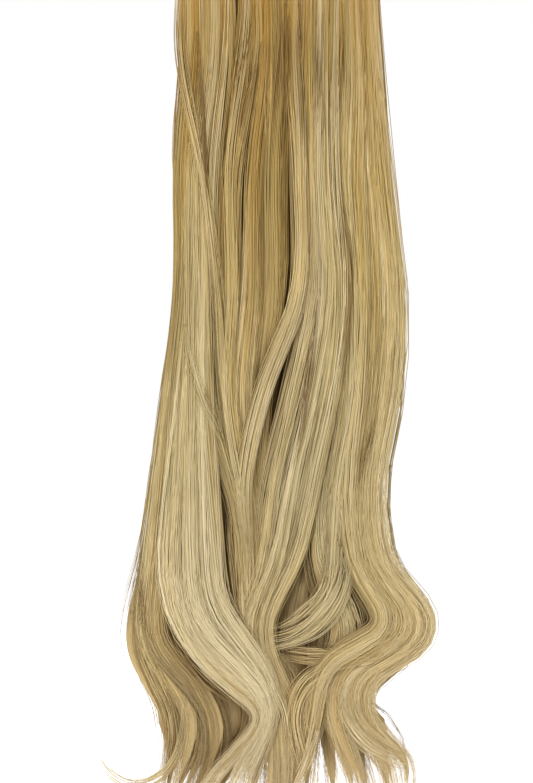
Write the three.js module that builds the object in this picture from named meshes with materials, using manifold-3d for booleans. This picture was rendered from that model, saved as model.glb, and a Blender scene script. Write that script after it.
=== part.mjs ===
// A clip-in hair extension of long, loosely curled hair: three rows of hair, each with its locks fused to
// a sewn track, on one band with three snap clips behind it. Millimetres, +Z up. The side that shows when it
// is worn faces -Y, and the wearer's head lies on the +Y side. The origin is the middle of the band's back face.
import * as THREE from "three";
import { mergeVertices } from "three/addons/utils/BufferGeometryUtils.js";
import Module from "manifold-3d";

const wasm = await Module();
wasm.setup();

// Driving sizes of the band, the tracks and what joins them
const weftWidth = 140; // across the sewn tracks
const bandMargin = 2; // how far the band runs past the tracks at each end
const bandHeight = 18;
const bandThickness = 1.6;
const bandCornerRadius = 3;
const trackHeight = 9; // the sewn head of a row of hair
const trackThickness = 1.6;
const trackDrop = 3; // from the band's middle down to a track's middle
const seatGap = 0.3; // between pieces that are sewn to each other

// Driving sizes of the hair
const hairDrop = 620; // from the band's middle to the last station
const rootThickness = 1.1; // of a lock inside its track
const lockThickness = 7; // of a lock in its full part
const fillLength = 120; // over which the hair fills out from its roots
const staggerSteps = 3; // neighbouring locks lie at this many depths in turn, so that none are flush
const rootStagger = 0.12; // from one such depth to the next, inside the track
const lockStagger = 0.7; // and in the hair's full part
const rowClearance = 3; // between the full parts of two rows
const frontLift = 7; // how far a lock of the front row with a lift of 1 stands proud
const backLift = 5;
const swingDepth = 12; // of the waves that all rows make forwards and backwards
const swingLength = 320; // of one such wave, down the hair
const swingLead = 110; // how much further up a wave is at the right side than in the middle
const sideThinning = 0.5; // share of the hair's depth that is lost towards its sides
const sideReach = 1.5; // of half the weft's width from the middle, where that share is reached
const gather = 0.93; // share of the front row's spread that the rows behind it have
const tipShare = 0.2; // of a lock's width and thickness that is left at its tip
const taperLength = 70; // over which a lock narrows to its tip

// Driving sizes of the clips
const clipWidth = 34;
const clipHeight = 13;
const clipThickness = 1.2;
const clipInset = 5; // from the band's end to the outer clips
const clipCornerRadius = 4;
const clipRail = 2.4; // width of the clip's frame
const toothCount = 7;
const toothWidth = 1.7;
const toothGap = 1.4; // between a tooth's tip and the frame

// The stations down the hair, as shares of its drop, where the places of the locks are given
const stations = [0, 0.135, 0.27, 0.405, 0.52, 0.62, 0.705, 0.775, 0.815, 0.855, 0.88, 0.91, 1];
const spanRings = [1, 1, 1, 1, 1, 1, 2, 2, 1, 1, 1, 1]; // cross-sections of a lock from each station to the next
const turnPerRing = 25; // degrees of a curled tip from one cross-section to the next
const shareStep = 0.01; // of the drop, within which two cross-sections count as one
const grid = 0.05; // on which the corners of the joined solids lie

// The lens-shaped section of a lock, as shares of its half width and half thickness. The rounder side shows.
const section = [
  { across: 1, out: 0 },
  { across: 0.5, out: 0.87 },
  { across: -0.5, out: 0.87 },
  { across: -1, out: 0 },
  { across: 0, out: -1 },
];

// The shares of the drop where widths and lifts are given: high, middle and low
const profileStations = [0.1, 0.5, 0.8];

// The locks of the front row, from the left to the right.
// sway: where the lock's middle is at each station, as a share of half the weft's width
// width: how wide it is high, in the middle and low, as a share of the same
// lift: how proud it stands there, from 0 to 1
// ends: the share of the drop where it ends, or where its curl starts
// curl: the arc at its tip, with its radius as a share of half the weft's width and its turn in degrees
// over: it lies across the others, so no lock of the other rows follows it
const frontLocks = [
  {
    name: "left tail",
    sway: [-0.92, -0.91, -0.97, -0.97, -1.1, -1.22, -1.32, -1.44, -1.43, -1.24, -1.14, -1.08, -1.28],
    width: [0.14, 0.18, 0.24],
    lift: [0, 0.1, 0],
    ends: 0.925,
    curl: { radius: 0.42, turn: 165 },
  },
  {
    name: "left sheet",
    sway: [-0.88, -0.88, -0.94, -0.93, -1.04, -1.15, -1.24, -1.29, -1.28, -1.11, -1.01, -0.97, -1.22],
    width: [0.12, 0.18, 0.26],
    lift: [0.1, 0.2, 0],
    ends: 1,
  },
  {
    name: "inner tail",
    sway: [-0.85, -0.84, -0.92, -0.9, -1, -1.08, -1.13, -1.17, -1.12, -0.91, -0.79, -0.74, -1.02],
    width: [0.12, 0.18, 0.28],
    lift: [0.1, 0.2, 0],
    ends: 1,
  },
  {
    name: "swoop outer",
    sway: [-0.82, -0.81, -0.89, -0.87, -0.96, -1.03, -1.08, -1.02, -0.82, -0.46, -0.28, -0.46, -1.1],
    width: [0.12, 0.2, 0.26],
    lift: [0.2, 0.6, 0.9],
    ends: 1,
  },
  {
    name: "swoop middle",
    sway: [-0.73, -0.72, -0.85, -0.82, -0.86, -0.88, -0.86, -0.77, -0.55, -0.22, -0.15, -0.37, -0.94],
    width: [0.14, 0.22, 0.26],
    lift: [0.2, 0.7, 1],
    ends: 1,
  },
  {
    name: "swoop inner",
    sway: [-0.64, -0.63, -0.79, -0.76, -0.75, -0.7, -0.64, -0.52, -0.29, -0.06, -0.07, -0.27, -0.82],
    width: [0.14, 0.22, 0.24],
    lift: [0.1, 0.6, 0.8],
    ends: 1,
  },
  {
    name: "left crossing",
    sway: [-0.96, -0.97, -0.75, -0.59, -0.52, -0.4],
    width: [0.06, 0.07, 0.06],
    lift: [0.9, 0.8, 0],
    ends: 0.62,
    over: true,
  },
  {
    name: "diagonal",
    sway: [-0.54, -0.53, -0.66, -0.7, -0.73, -0.47, -0.32, -0.32, -0.22, -0.06, 0.04, 0.02, 0.06],
    width: [0.18, 0.2, 0.17],
    lift: [0.2, 0.2, 0.2],
    ends: 1,
  },
  {
    name: "golden left",
    sway: [-0.3, -0.31, -0.47, -0.48, -0.51, -0.37, -0.28, -0.3, -0.22, -0.1, -0.06, -0.1, -0.16],
    width: [0.2, 0.18, 0.16],
    lift: [0.6, 0.5, 0],
    ends: 0.775,
  },
  {
    name: "golden middle",
    sway: [-0.16, -0.13, -0.29, -0.31, -0.38, -0.3, -0.24, -0.26, -0.18, -0.06, -0.02, -0.04, -0.08],
    width: [0.18, 0.2, 0.18],
    lift: [0.6, 0.5, 0],
    ends: 0.815,
  },
  {
    name: "golden right",
    sway: [-0.01, 0.01, -0.03, -0.04, -0.18, -0.22, -0.2, -0.22, -0.14, 0, 0.04, 0.04, 0.02],
    width: [0.2, 0.2, 0.18],
    lift: [0.5, 0.1, 0],
    ends: 0.775,
  },
  {
    name: "crossing",
    sway: [0.16, 0.16, 0.21, 0.2, -0.16, -0.34, -0.29],
    width: [0.1, 0.14, 0.14],
    lift: [0.2, 1, 0.2],
    ends: 0.705,
    over: true,
  },
  {
    name: "centre left",
    sway: [0.33, 0.31, 0.31, 0.35, 0.16, -0.05, -0.15, -0.33, -0.3, -0.12, -0.06, -0.04, -0.07],
    width: [0.17, 0.21, 0.22],
    lift: [0.6, 0.5, 0.4],
    ends: 1,
  },
  {
    name: "centre",
    sway: [0.48, 0.47, 0.45, 0.5, 0.35, 0.15, 0.02, -0.24, -0.2, -0.02, 0.03, 0.06, 0.06],
    width: [0.16, 0.2, 0.22],
    lift: [0.6, 0.6, 0.5],
    ends: 1,
  },
  {
    name: "centre right",
    sway: [0.59, 0.57, 0.52, 0.61, 0.51, 0.34, 0.18, -0.12, -0.08, 0.09, 0.14, 0.17, 0.22],
    width: [0.14, 0.18, 0.2],
    lift: [0.5, 0.5, 0.4],
    ends: 0.925,
  },
  {
    name: "centre shadow",
    sway: [0.68, 0.68, 0.65, 0.73, 0.64, 0.49, 0.43, 0.55, 0.5, 0.32, 0.27, 0.22, 0.12],
    width: [0.13, 0.16, 0.38],
    lift: [0.3, 0.2, 0],
    ends: 0.93,
  },
  {
    name: "hooked curl",
    sway: [0.71, 0.72, 0.69, 0.79, 0.74, 0.59, 0.55, 0.48, 0.47, 0.34, 0.3, 0.3, 0.34],
    width: [0.14, 0.17, 0.1],
    lift: [0.5, 0.5, 0.5],
    ends: 0.74,
    curl: { radius: 0.65, turn: 78 },
  },
  {
    name: "right inner",
    sway: [0.78, 0.81, 0.81, 0.89, 0.83, 0.7, 0.74, 1.26, 0.88, 0.46, 0.41, 0.39, 0.1],
    width: [0.14, 0.18, 0.22],
    lift: [0.5, 0.5, 0.6],
    ends: 1,
  },
  {
    name: "right middle",
    sway: [0.84, 0.88, 0.9, 1.01, 0.94, 0.81, 0.85, 1.35, 1.03, 0.6, 0.55, 0.64, 0.84],
    width: [0.13, 0.18, 0.22],
    lift: [0.5, 0.6, 0.5],
    ends: 0.96,
  },
  {
    name: "right outer",
    sway: [0.89, 0.93, 0.99, 1.11, 1.05, 0.9, 0.95, 1.44, 1.18, 0.74, 0.69, 0.88, 1.12],
    width: [0.13, 0.18, 0.22],
    lift: [0.4, 0.5, 0.4],
    ends: 1,
  },
  {
    name: "right edge",
    sway: [0.94, 0.98, 1.07, 1.2, 1.16, 0.99, 1.06, 1.53, 1.33, 0.88, 0.85, 1.12, 1.3],
    width: [0.12, 0.17, 0.18],
    lift: [0.2, 0.3, 0.3],
    ends: 0.97,
  },
];

// The rows, from the one at the band to the front one.
// lane: counts the rows from the band
// facing: 1 where the row shows its front and -1 where it shows its back
// neighbours: how many locks of the front row each of its locks takes the mean place of, to fill the valleys
// first: the first of those that it starts from
const rows = [
  {
    name: "hair_row_back",
    lane: 0,
    facing: -1,
    lift: backLift,
    neighbours: 3,
    first: 0,
    width: [0.32, 0.44, 0.46],
    ends: 0.95,
  },
  {
    name: "hair_row_middle",
    lane: 1,
    facing: 1,
    lift: 0,
    neighbours: 2,
    first: 1,
    width: [0.3, 0.46, 0.46],
    ends: 0.93,
  },
  {
    name: "hair_row_front",
    lane: 2,
    facing: 1,
    lift: frontLift,
  },
];

// Sizes worked out from the driving ones
const halfWeft = weftWidth / 2;
const bandWidth = weftWidth + 2 * bandMargin;
const trackPitch = trackThickness + seatGap;
const rowPitch = lockThickness + (staggerSteps - 1) * lockStagger + rowClearance;
const clipPitch = (bandWidth - clipWidth) / 2 - clipInset;
const rootShare = trackHeight / hairDrop; // of the drop, where the hair starts to fill out below its track

// A closed geometry as a manifold-3d solid, by its places alone
function solidOf(geometry) {
  const bare = new THREE.BufferGeometry();
  bare.setAttribute("position", geometry.getAttribute("position"));
  bare.setIndex(geometry.getIndex());
  const merged = mergeVertices(bare, 1e-4);
  return new wasm.Manifold(
    new wasm.Mesh({
      numProp: 3,
      vertProperties: new Float32Array(merged.getAttribute("position").array),
      triVerts: new Uint32Array(merged.getIndex().array),
    }),
  );
}

// A solid as a geometry on a fine grid, which leaves out the slivers that are thinner than the grid
function geometryOf(solid) {
  const { vertProperties, triVerts } = solid.getMesh();
  const snapped = vertProperties.map((value) => Math.round(value / grid) * grid);
  const geometry = new THREE.BufferGeometry();
  geometry.setAttribute("position", new THREE.BufferAttribute(snapped, 3));
  geometry.setIndex(new THREE.BufferAttribute(triVerts, 1));
  const merged = mergeVertices(geometry, grid / 2);
  const faces = Array.from({ length: merged.getIndex().count / 3 }, (_, i) => {
    return [0, 1, 2].map((corner) => merged.getIndex().getX(3 * i + corner));
  });
  merged.setIndex(faces.filter((face) => new Set(face).size === 3).flat());
  merged.computeVertexNormals();
  return merged;
}

function namedMesh(name, geometry, material) {
  const mesh = new THREE.Mesh(geometry, new THREE.MeshStandardMaterial(material));
  mesh.name = name;
  return mesh;
}

// The value at a share on the smooth curve through a short list of values
function smoothValue(shares, values, share) {
  const last = values.length - 1;
  const slope = (i) => {
    const before = Math.max(0, i - 1);
    const after = Math.min(last, i + 1);
    return (values[after] - values[before]) / (shares[after] - shares[before]);
  };
  let i = 0;
  while (i < last - 1 && share > shares[i + 1]) i += 1;
  const span = shares[i + 1] - shares[i];
  const t = (share - shares[i]) / span;
  const rise = t * t * (3 - 2 * t);
  const leave = t * (1 - t) * (1 - t) * span * slope(i);
  const arrive = t * t * (1 - t) * span * slope(i + 1);
  return values[i] + rise * (values[i + 1] - values[i]) + leave - arrive;
}

// A width or a lift, which stays at its first and last value beyond its stations
function profileValue(values, share) {
  const inside = THREE.MathUtils.clamp(share, profileStations[0], profileStations[2]);
  return smoothValue(profileStations, values, inside);
}

// How far back a place in a row lies. proud is its distance in front of the row's middle surface.
function depthAt(x, z, lane, proud) {
  const fill = THREE.MathUtils.smoothstep(-z, trackHeight, fillLength);
  const laneAtTrack = -bandThickness - seatGap - trackThickness / 2 - lane * trackPitch;
  const laneInFull = -(lane + 0.5) * rowPitch;
  const side = Math.min(Math.abs(x) / (sideReach * halfWeft), 1);
  const thinning = 1 - sideThinning * fill * side * side;
  const middle = (-rows.length / 2) * rowPitch;
  const wave = Math.sin((2 * Math.PI * (-z + (swingLead * x) / halfWeft)) / swingLength);
  const swing = fill * swingDepth * (-z / hairDrop) * wave;
  const laneDepth = THREE.MathUtils.lerp(laneAtTrack, middle + (laneInFull - middle) * thinning, fill);
  return laneDepth + swing - proud * thinning;
}

// The lock's middle line in the plane of the band, as places with their heading and share of the drop
function lockLine(lock) {
  const across = (share) => halfWeft * smoothValue(stations, lock.sway, share);
  const place = (share) => new THREE.Vector2(across(share), -hairDrop * share);
  const shares = stations.slice(1).flatMap((after, i) => {
    const rings = Array.from({ length: spanRings[i] }, (_, ring) => ring / spanRings[i]);
    return rings.map((part) => THREE.MathUtils.lerp(stations[i], after, part));
  });
  const above = shares.toSpliced(1, 0, rootShare).filter((share) => lock.ends - share > shareStep);
  const line = above.concat(lock.ends).map((share) => {
    const before = place(Math.max(share - shareStep, 0));
    const after = place(Math.min(share + shareStep, lock.ends));
    return { at: place(share), heading: after.sub(before).angle(), share };
  });
  return lock.curl ? line.concat(curlLine(lock.curl, line.at(-1))) : line;
}

// The arc at a lock's tip, which turns to the left and up as seen from the front
function curlLine({ radius, turn }, start) {
  const rings = Math.ceil(turn / turnPerRing);
  const reach = radius * halfWeft;
  const side = new THREE.Vector2(Math.sin(start.heading), -Math.cos(start.heading));
  const centre = start.at.clone().addScaledVector(side, reach);
  return Array.from({ length: rings }, (_, i) => {
    const turned = (-THREE.MathUtils.degToRad(turn) * (i + 1)) / rings;
    const at = start.at.clone().rotateAround(centre, turned);
    return { at, heading: start.heading + turned, share: start.share };
  });
}

// One lock as a closed sweep of lens-shaped sections, wide across its heading and thin in depth
function lockGeometry(lock, row, order) {
  const line = lockLine(lock);
  const left = line.map(() => 0);
  for (let i = line.length - 2; i >= 0; i -= 1) left[i] = left[i + 1] + line[i].at.distanceTo(line[i + 1].at);
  const points = [];
  line.forEach(({ at, heading, share }, ring) => {
    const fill = THREE.MathUtils.smoothstep(-at.y, trackHeight, fillLength);
    const taper = tipShare + (1 - tipShare) * Math.sin((Math.min(left[ring] / taperLength, 1) * Math.PI) / 2);
    const halfWidth = (profileValue(lock.width, share) * halfWeft * taper) / 2;
    const halfDepth = (THREE.MathUtils.lerp(rootThickness, lockThickness, fill) * taper) / 2;
    const step = THREE.MathUtils.lerp(rootStagger, lockStagger, fill);
    const lift = profileValue(lock.lift, share) * row.lift * fill + (order % staggerSteps) * step;
    section.forEach(({ across, out }) => {
      const aside = halfWidth * across * row.facing;
      const x = at.x + Math.sin(heading) * aside;
      const z = at.y - Math.cos(heading) * aside;
      points.push(x, depthAt(x, z, row.lane, (lift + halfDepth * out) * row.facing), z);
    });
  });
  return closedSweep(points, line.length);
}

// The skin round a list of rings that all have the same number of points, with flat ends
function closedSweep(points, ringCount) {
  const sides = section.length;
  const faces = [];
  for (let ring = 0; ring + 1 < ringCount; ring += 1) {
    for (let side = 0; side < sides; side += 1) {
      const a = ring * sides + side;
      const b = ring * sides + ((side + 1) % sides);
      faces.push(a, a + sides, b, b, a + sides, b + sides);
    }
  }
  const lastRing = (ringCount - 1) * sides;
  for (let side = 1; side + 1 < sides; side += 1) {
    faces.push(0, side, side + 1, lastRing, lastRing + side + 1, lastRing + side);
  }
  const geometry = new THREE.BufferGeometry();
  geometry.setAttribute("position", new THREE.Float32BufferAttribute(points, 3));
  geometry.setIndex(faces);
  return geometry;
}

// The locks of a row that fills the valleys: each takes the mean place of some neighbours of the front row
function fillingLocks({ first, neighbours, width, ends }) {
  const followed = frontLocks.filter((lock) => !lock.over);
  const groups = followed
    .map((_, i) => followed.slice(i, i + neighbours))
    .filter((group, i) => i % 2 === first && group.length === neighbours);
  return groups.map((group) => {
    const sway = stations.map((_, station) => {
      const reaching = group.filter((lock) => lock.sway.length > station);
      return (gather * reaching.reduce((sum, lock) => sum + lock.sway[station], 0)) / reaching.length;
    });
    const lift = profileStations.map((_, i) => {
      return group.reduce((sum, lock) => sum + lock.lift[i], 0) / neighbours;
    });
    return { sway, width, lift, ends };
  });
}

// A box with its edges along the axes, given by its lowest and highest corners
function boxSolid(low, high) {
  const size = high.map((value, i) => value - low[i]);
  const geometry = new THREE.BoxGeometry(...size);
  geometry.translate(...low.map((value, i) => value + size[i] / 2));
  return solidOf(geometry);
}

// A solid with the sealed pockets filled that are left where its locks cross
function withoutPockets(solid) {
  return wasm.Manifold.union(solid.decompose().filter((body) => body.volume() > 0));
}

// One row of hair: its sewn track with all its locks fused to it
function hairRow(row) {
  const locks = row.neighbours ? fillingLocks(row) : frontLocks;
  const back = -bandThickness - seatGap - row.lane * trackPitch;
  const low = [-halfWeft, back - trackThickness, -trackDrop - trackHeight / 2];
  const high = [halfWeft, back, -trackDrop + trackHeight / 2];
  const track = boxSolid(low, high);
  const joined = locks.reduce((solid, lock, i) => solid.add(solidOf(lockGeometry(lock, row, i))), track);
  const material = { color: 0xc4ae7c, roughness: 0.45, metalness: 0 };
  return namedMesh(row.name, geometryOf(withoutPockets(joined)), material);
}

// A rectangle with round corners about the origin
function roundedOutline(path, width, height, radius) {
  const x = width / 2 - radius;
  const y = height / 2 - radius;
  path.moveTo(x, -height / 2);
  path.absarc(x, -y, radius, -Math.PI / 2, 0);
  path.absarc(x, y, radius, 0, Math.PI / 2);
  path.absarc(-x, y, radius, Math.PI / 2, Math.PI);
  path.absarc(-x, -y, radius, Math.PI, 1.5 * Math.PI);
  path.closePath();
  return path;
}

// A flat plate in the plane of the band, from its outline, with its front at the given depth
function plate(shape, thickness, front) {
  const settings = { depth: thickness, bevelEnabled: false, curveSegments: 3 };
  return new THREE.ExtrudeGeometry(shape, settings).rotateX(Math.PI / 2).translate(0, front + thickness, 0);
}

function band() {
  const outline = roundedOutline(new THREE.Shape(), bandWidth, bandHeight, bandCornerRadius);
  const material = { color: 0x8d7448, roughness: 0.85, metalness: 0 };
  return namedMesh("weft_band", plate(outline, bandThickness, -bandThickness), material);
}

// A snap clip: a frame with a comb of teeth that hang from its upper rail
function clip(name, x) {
  const outline = roundedOutline(new THREE.Shape(), clipWidth, clipHeight, clipCornerRadius);
  const openingWidth = clipWidth - 2 * clipRail;
  const openingHeight = clipHeight - 2 * clipRail;
  outline.holes.push(combOutline(openingWidth, openingHeight));
  const material = { color: 0x6d5a3c, roughness: 0.4, metalness: 0.6 };
  const mesh = namedMesh(name, plate(outline, clipThickness, seatGap), material);
  mesh.position.x = x;
  return mesh;
}

// The clip's opening, whose upper side runs down and up round each tooth
function combOutline(width, height) {
  const pitch = width / toothCount;
  const top = height / 2;
  const tip = -top + toothGap;
  const path = new THREE.Path();
  path.moveTo(-width / 2, -top);
  path.lineTo(width / 2, -top);
  path.lineTo(width / 2, top);
  for (let tooth = toothCount - 1; tooth >= 0; tooth -= 1) {
    const middle = (tooth + 0.5) * pitch - width / 2;
    path.lineTo(middle + toothWidth / 2, top);
    path.lineTo(middle + toothWidth / 2, tip);
    path.lineTo(middle - toothWidth / 2, tip);
    path.lineTo(middle - toothWidth / 2, top);
  }
  path.lineTo(-width / 2, top);
  path.closePath();
  return path;
}

const extension = new THREE.Group();
extension.add(band(), clip("clip_left", -clipPitch), clip("clip_centre", 0), clip("clip_right", clipPitch));
rows.forEach((row) => extension.add(hairRow(row)));

export default extension;
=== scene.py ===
import math

import bpy
import numpy as np
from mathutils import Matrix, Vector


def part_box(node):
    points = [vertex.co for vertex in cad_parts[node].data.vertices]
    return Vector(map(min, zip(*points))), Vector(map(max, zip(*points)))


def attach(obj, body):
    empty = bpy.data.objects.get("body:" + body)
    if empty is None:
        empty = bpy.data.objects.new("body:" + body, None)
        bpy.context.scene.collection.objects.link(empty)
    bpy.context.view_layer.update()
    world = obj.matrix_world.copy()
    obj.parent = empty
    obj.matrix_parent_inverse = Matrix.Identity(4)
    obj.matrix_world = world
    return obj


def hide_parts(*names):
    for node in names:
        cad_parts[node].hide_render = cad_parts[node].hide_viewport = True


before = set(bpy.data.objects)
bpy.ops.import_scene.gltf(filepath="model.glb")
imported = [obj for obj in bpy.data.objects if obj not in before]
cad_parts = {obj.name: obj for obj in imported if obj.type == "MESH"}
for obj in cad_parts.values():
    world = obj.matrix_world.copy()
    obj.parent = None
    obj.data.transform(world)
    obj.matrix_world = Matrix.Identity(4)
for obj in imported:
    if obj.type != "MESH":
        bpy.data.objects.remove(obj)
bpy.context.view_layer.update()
bpy.ops.object.select_all(action="DESELECT")
print("frame loaded")

# Camera, light and floor

studio = {
    "pictureMiddle": (-0.008, -0.32),  # x and z that the picture is centred on
    "pictureHeight": 0.548,
    "pictureDepth": -0.03,  # y of the plane where the picture has that height
    "cameraDistance": 1.7,
    "sensorSize": 36,
    "clipping": (0.05, 30),
    "skyStrength": 0.5,
    "skyColour": (1, 0.99, 0.97, 1),
    "lightTarget": (0, 0, -0.33),
    "lights": {
        "keyLight": {"place": (-0.9, -2.0, 0.35), "power": 24, "size": 0.9},
        "fillLight": {"place": (1.3, -1.5, -0.1), "power": 4, "size": 1.2},
        "backLight": {"place": (0.5, 1.8, 0.9), "power": 13, "size": 1.2},
    },
    "floorHeight": -0.7,
    "floorSize": 24,
    "floorColour": (0.93, 0.93, 0.93, 1),
    "floorRoughness": 0.9,
    "floorGlow": 0.6,
}
white = (1, 1, 1)
black = (0, 0, 0)


def lookAt(thing, target):
    # points the thing's own -Z at the target
    direction = np.array(target) - np.array(thing.location)
    flat = math.hypot(direction[0], direction[1])
    thing.rotation_euler = (math.atan2(flat, -direction[2]), 0, math.atan2(-direction[0], direction[1]))


def addCamera():
    data = bpy.data.cameras.new("camera")
    camera = bpy.data.objects.new("camera", data)
    bpy.context.collection.objects.link(camera)
    x, z = studio["pictureMiddle"]
    camera.location = (x, studio["pictureDepth"] - studio["cameraDistance"], z)
    lookAt(camera, (x, 0, z))
    data.sensor_width = studio["sensorSize"]
    data.lens = data.sensor_width * studio["cameraDistance"] / studio["pictureHeight"]
    data.clip_start, data.clip_end = studio["clipping"]
    bpy.context.scene.camera = camera


def addSoftLight(name, place, power, size):
    data = bpy.data.lights.new(name, "AREA")
    data.energy, data.size = power, size
    light = bpy.data.objects.new(name, data)
    bpy.context.collection.objects.link(light)
    light.location = place
    lookAt(light, studio["lightTarget"])


def addWorld():
    # white where the camera sees it, a soft light for everything else
    world = bpy.data.worlds.new("paleRoom")
    bpy.context.scene.world = world
    world.use_nodes = True
    nodes, links = world.node_tree.nodes, world.node_tree.links
    nodes.clear()
    seen = nodes.new("ShaderNodeBackground")
    lit = nodes.new("ShaderNodeBackground")
    mix = nodes.new("ShaderNodeMixShader")
    path = nodes.new("ShaderNodeLightPath")
    out = nodes.new("ShaderNodeOutputWorld")
    seen.inputs["Color"].default_value = (*white, 1)
    lit.inputs["Color"].default_value = studio["skyColour"]
    lit.inputs["Strength"].default_value = studio["skyStrength"]
    links.new(path.outputs["Is Camera Ray"], mix.inputs["Fac"])
    links.new(lit.outputs[0], mix.inputs[1])
    links.new(seen.outputs[0], mix.inputs[2])
    links.new(mix.outputs[0], out.inputs["Surface"])


def setInputs(node, values):
    for key, value in values.items():
        node.inputs[key].default_value = value


def startMaterial(name):
    # a new material, its node tree and its shader
    material = bpy.data.materials.new(name)
    material.use_nodes = True
    return material, material.node_tree, material.node_tree.nodes["Principled BSDF"]


def addFloor():
    bpy.ops.mesh.primitive_plane_add(size=studio["floorSize"], location=(0, 0, studio["floorHeight"]))
    floor = bpy.context.object
    floor.name = "paleFloor"
    bpy.ops.object.transform_apply(location=True, rotation=True, scale=True)
    material, _, shader = startMaterial("palePaper")
    setInputs(shader, {
        "Base Color": studio["floorColour"],
        "Roughness": studio["floorRoughness"],
        "Emission Color": (*white, 1),
        "Emission Strength": studio["floorGlow"],
    })
    floor.data.materials.append(material)
    bpy.ops.object.select_all(action="DESELECT")


bpy.context.scene.view_settings.view_transform = "Standard"
addCamera()
addWorld()
addFloor()
for name, light in studio["lights"].items():
    addSoftLight(name, **light)
print("camera and light made")

# The form that all the hair follows

hairForm = {
    "halfWeft": 0.07,
    "drop": 0.62,
    "bandThickness": 0.0016,
    "trackThickness": 0.0016,
    "trackHeight": 0.009,
    "trackDrop": 0.003,
    "seatGap": 0.0003,
    "rootThickness": 0.0011,
    "lockThickness": 0.007,
    "fillLength": 0.12,  # how far below the band the hair reaches its full thickness
    "layers": 3,  # at so many depths the locks of a row lie, one after the other
    "rootStagger": 0.00012,
    "lockStagger": 0.0007,
    "rowPitch": 0.0114,
    "swingDepth": 0.012,
    "swingLength": 0.32,
    "swingLead": 0.11,
    "sideThinning": 0.5,
    "sideReach": 1.5,
    "gather": 0.93,
    "taperLength": 0.05,
    "stations": [0, 0.135, 0.27, 0.405, 0.52, 0.62, 0.705, 0.775, 0.815, 0.855, 0.88, 0.91, 1],
    "profileStations": [0.1, 0.5, 0.8],
    "leastStep": 0.01,  # between the last stations of a lock and its end, as a share of the drop
    "samples": 200,
    "curlSamples": 40,
    "rounding": 7,  # samples over which the corners of a lock's line are evened out
    "roundings": 3,
    "rootRings": 1.8,  # how much closer rings are near the band than in the straight part
    "rootRingsEase": (0.17, 0.26),
    "bendRings": 0.11,  # and in the curls, for each radian over a metre
}

# The swoop's half widths at the stations
swoopSpan = [0.06, 0.065, 0.085, 0.09, 0.105, 0.12, 0.13, 0.13, 0.12, 0.1, 0.07, 0.08, 0.11]

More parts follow.
